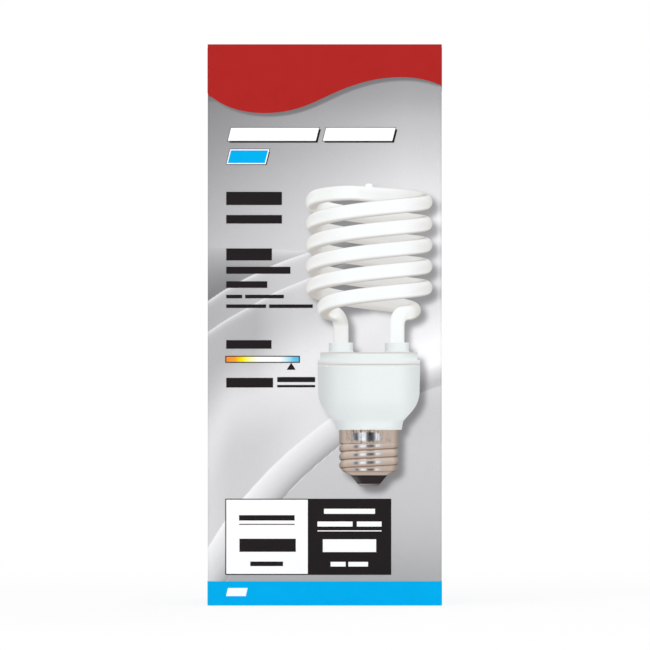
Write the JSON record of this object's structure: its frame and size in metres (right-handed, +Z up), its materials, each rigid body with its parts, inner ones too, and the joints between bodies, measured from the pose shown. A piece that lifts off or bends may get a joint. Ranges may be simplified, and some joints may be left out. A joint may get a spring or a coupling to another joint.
{
  "type": "light bulb carton",
  "caption": "Tall square retail carton with a tuck lid and printed front, holding a spiral compact fluorescent bulb that stands on its screw cap.",
  "frame": {"origin": "centre of the carton's underside", "axes": "+Z up through the lid, the printed front faces -Y, +X to the right of someone who looks at the front"},
  "size_m": [0.0608, 0.0608, 0.1453],
  "materials": {
    "printed_board": "coated white board, printed silver-grey, raw grey-brown inside",
    "lid_board": "coated board printed red, raw inside",
    "ink_red": "satin print",
    "ink_blue": "satin print",
    "ink_black": "satin print",
    "ink_white": "satin print",
    "ink_amber": "satin print",
    "ink_picture_white": "satin print",
    "ink_picture_shade": "satin print",
    "ink_picture_housing": "satin print",
    "ink_picture_cap": "satin print",
    "coated_glass": "clear glass with a white coating inside, opaque",
    "white_plastic": "moulded, satin",
    "plated_shell": "nickel-plated, bright",
    "dark_glass": "opaque dark glass",
    "solder": "dull solder",
    "laminate": "paper laminate",
    "capacitor_sleeve": "shrunk sleeve",
    "ferrite": "pressed ferrite",
    "copper_winding": "enamelled copper wire",
    "resistor_body": "lacquered ceramic",
    "tinned_wire": "tinned",
    "black_epoxy": "moulded epoxy",
    "film_dip": "dipped epoxy",
    "cement": "cured cement"
  },
  "bodies": {
    "carton": {"ballast_housing": "white_plastic", "base_lead_contact": "tinned_wire", "base_lead_shell": "tinned_wire", "cap_insulator": "dark_glass", "carton_sleeve": "printed_board", "centre_contact": "solder", "choke_core": "ferrite", "choke_winding": "copper_winding", "circuit_board": "laminate", "discharge_tube": "coated_glass", "drive_ring": "ferrite", "film_capacitor_1": "film_dip", "film_capacitor_2": "film_dip", "film_capacitor_3": "film_dip", "fuse_resistor": "resistor_body", "print_amber_mark": "ink_amber", "print_blue_marks": "ink_blue", "print_dark_marks": "ink_black", "print_foot_band_blue": "ink_blue", "print_header_red": "ink_red", "print_picture_cap": "ink_picture_cap", "print_picture_housing": "ink_picture_housing", "print_picture_tube": "ink_picture_white", "print_picture_tube_shade": "ink_picture_shade", "print_white_marks": "ink_white", "rectifier_diode_1": "black_epoxy", "rectifier_diode_2": "black_epoxy", "rectifier_diode_3": "black_epoxy", "rectifier_diode_4": "black_epoxy", "reservoir_capacitor": "capacitor_sleeve", "screw_cap_shell": "plated_shell", "switching_transistor_1": "black_epoxy", "switching_transistor_2": "black_epoxy", "tube_cement_left": "cement", "tube_cement_right": "cement", "tube_lead_left_1": "tinned_wire", "tube_lead_left_2": "tinned_wire", "tube_lead_right_1": "tinned_wire", "tube_lead_right_2": "tinned_wire", "upper_cover": "white_plastic"},
    "lid": {"carton_lid": "lid_board"}
  },
  "joints": [
    {"name": "lid_hinge", "type": "hinge", "parent": "carton", "child": "lid", "pos_m": [0, 0.03004, 0.14506], "axis": [-1, 0, 0], "range_deg": [0, 180]}
  ]
}
